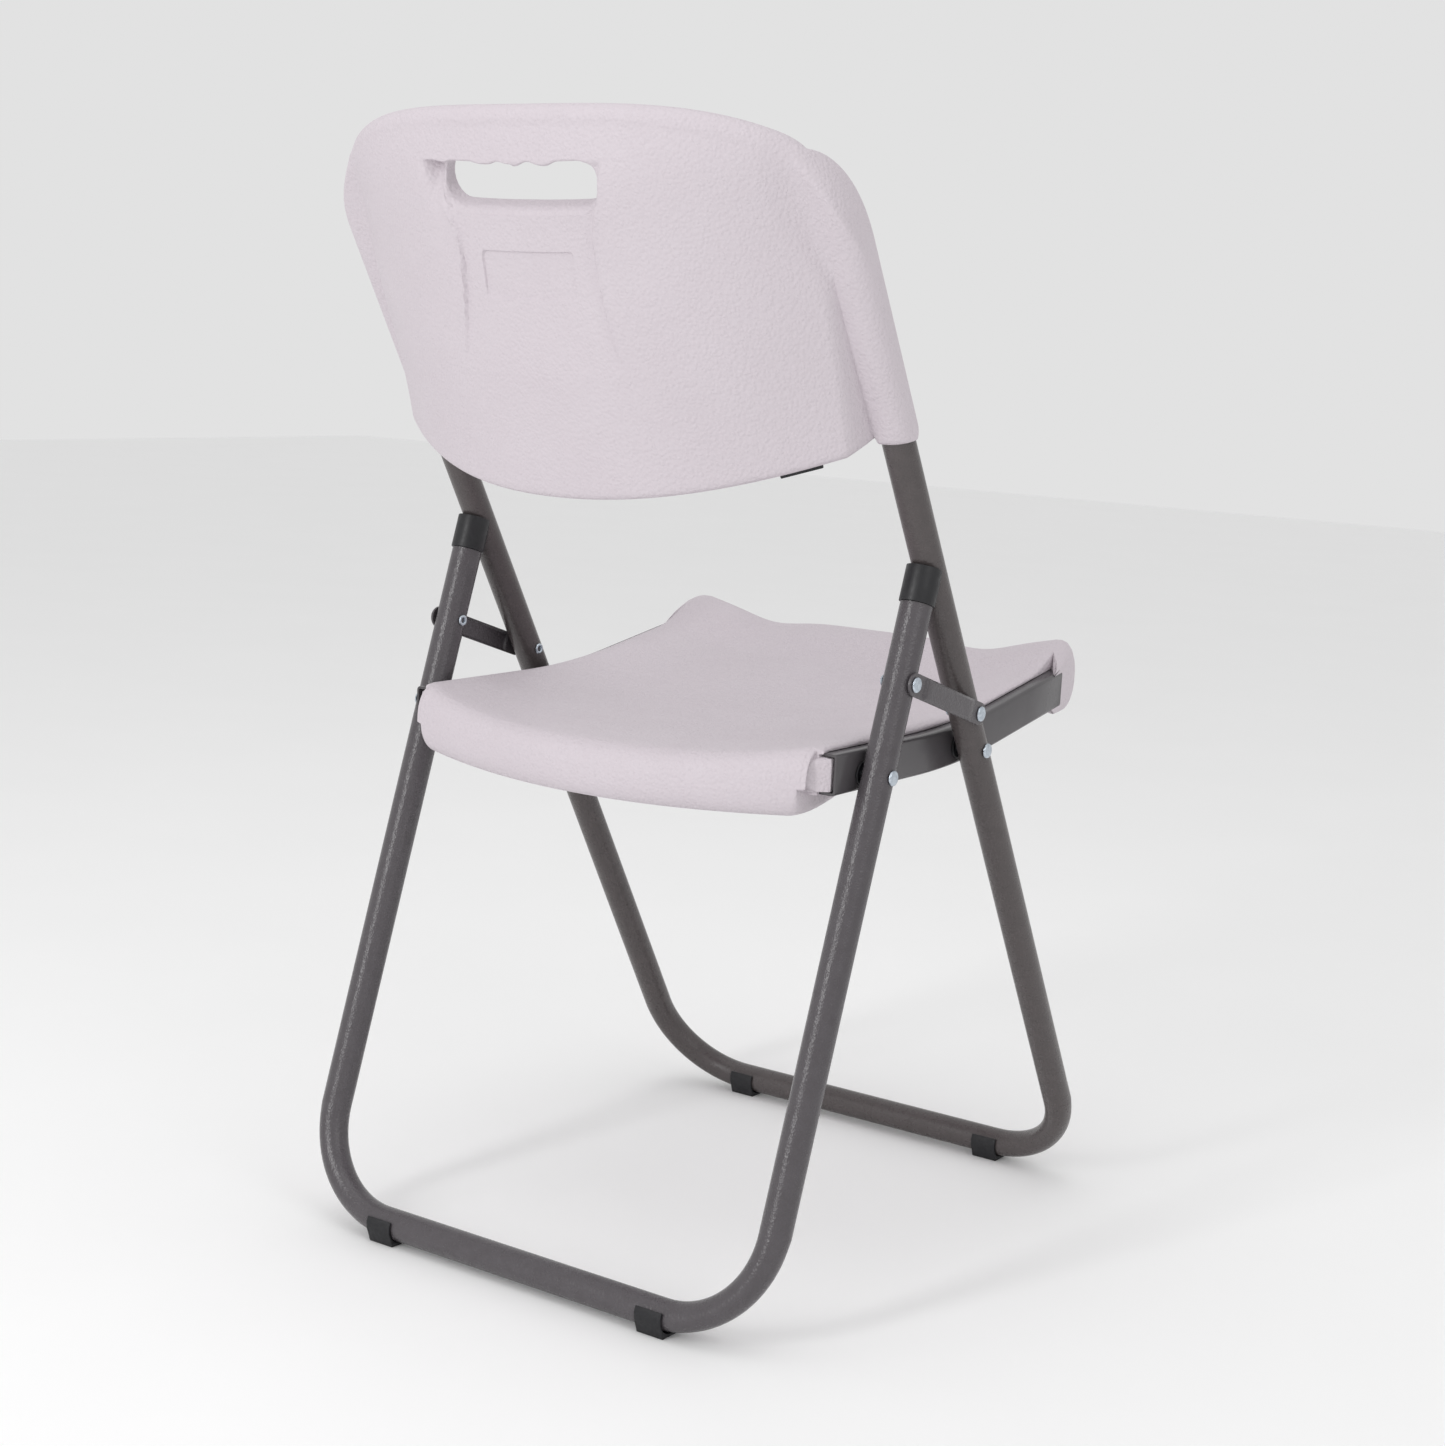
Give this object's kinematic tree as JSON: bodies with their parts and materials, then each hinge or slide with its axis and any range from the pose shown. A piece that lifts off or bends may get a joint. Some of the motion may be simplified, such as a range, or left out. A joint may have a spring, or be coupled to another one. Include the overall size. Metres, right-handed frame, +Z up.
{
  "type": "folding chair",
  "caption": "Folding chair with a moulded plastic seat and back on two crossed round-tube steel frames, with a hand hole in the curved back.",
  "frame": {"origin": "on the floor, in the middle of the chair's bounding box", "axes": "+Z up, -Y the way a sitter faces, +X to the sitter's left"},
  "size_m": [0.4802, 0.5817, 0.8947],
  "materials": {
    "frame_paint": "grey hammertone powder coat, semi-gloss",
    "rail_paint": "smooth grey powder coat, semi-gloss",
    "moulded_plastic": "off-white with a fine pebble grain",
    "black_plastic": "black, satin",
    "foot_rubber": "black, dull",
    "zinc": "bright zinc plate"
  },
  "bodies": {
    "frame": {"front_frame": "frame_paint", "backrest": "moulded_plastic", "front_foot_left": "foot_rubber", "link_front_rivet_left": "zinc", "seat_front_rivet_left": "zinc", "back_screw_left": "zinc", "back_bumper_left": "foot_rubber", "front_foot_right": "foot_rubber", "link_front_rivet_right": "zinc", "seat_front_rivet_right": "zinc", "back_screw_right": "zinc", "back_bumper_right": "foot_rubber"},
    "seat": {"seat_panel": "moulded_plastic", "seat_rail_left": "rail_paint", "seat_screw_1_left": "zinc", "seat_screw_2_left": "zinc", "seat_front_spacer_left": "black_plastic", "seat_rear_spacer_left": "black_plastic", "seat_rail_right": "rail_paint", "seat_screw_1_right": "zinc", "seat_screw_2_right": "zinc", "seat_front_spacer_right": "black_plastic", "seat_rear_spacer_right": "black_plastic"},
    "rear_legs": {"rear_frame": "frame_paint", "rear_foot_left": "foot_rubber", "rear_cap_left": "black_plastic", "link_rear_rivet_tail_left": "zinc", "seat_rear_rivet_left": "zinc", "rear_foot_right": "foot_rubber", "rear_cap_right": "black_plastic", "link_rear_rivet_tail_right": "zinc", "seat_rear_rivet_right": "zinc"},
    "left_link": {"link_left": "frame_paint", "link_rear_rivet_left": "zinc"},
    "right_link": {"link_right": "frame_paint", "link_rear_rivet_right": "zinc"}
  },
  "joints": [
    {"name": "seat_fold", "type": "hinge", "parent": "frame", "child": "seat", "pos_m": [0, -0.03279, 0.42852], "axis": [-1, 0, 0], "range_deg": [0, 98]},
    {"name": "rear_leg_pivot", "type": "hinge", "parent": "seat", "child": "rear_legs", "pos_m": [0, 0.1112, 0.42483], "axis": [-1, 0, 0], "range_deg": [-55, 0]},
    {"name": "left_link_pivot", "type": "hinge", "parent": "frame", "child": "left_link", "pos_m": [0, -0.01401, 0.46051], "axis": [-1, 0, 0], "range_deg": [0, 113.5]},
    {"name": "right_link_pivot", "type": "hinge", "parent": "frame", "child": "right_link", "pos_m": [0, -0.01401, 0.46051], "axis": [-1, 0, 0], "range_deg": [0, 113.5]}
  ],
  "couplings": [
    {"joint": "rear_leg_pivot", "follows": "seat_fold", "ratio": -0.5587},
    {"joint": "left_link_pivot", "follows": "seat_fold", "ratio": 1.1553},
    {"joint": "right_link_pivot", "follows": "seat_fold", "ratio": 1.1553}
  ]
}
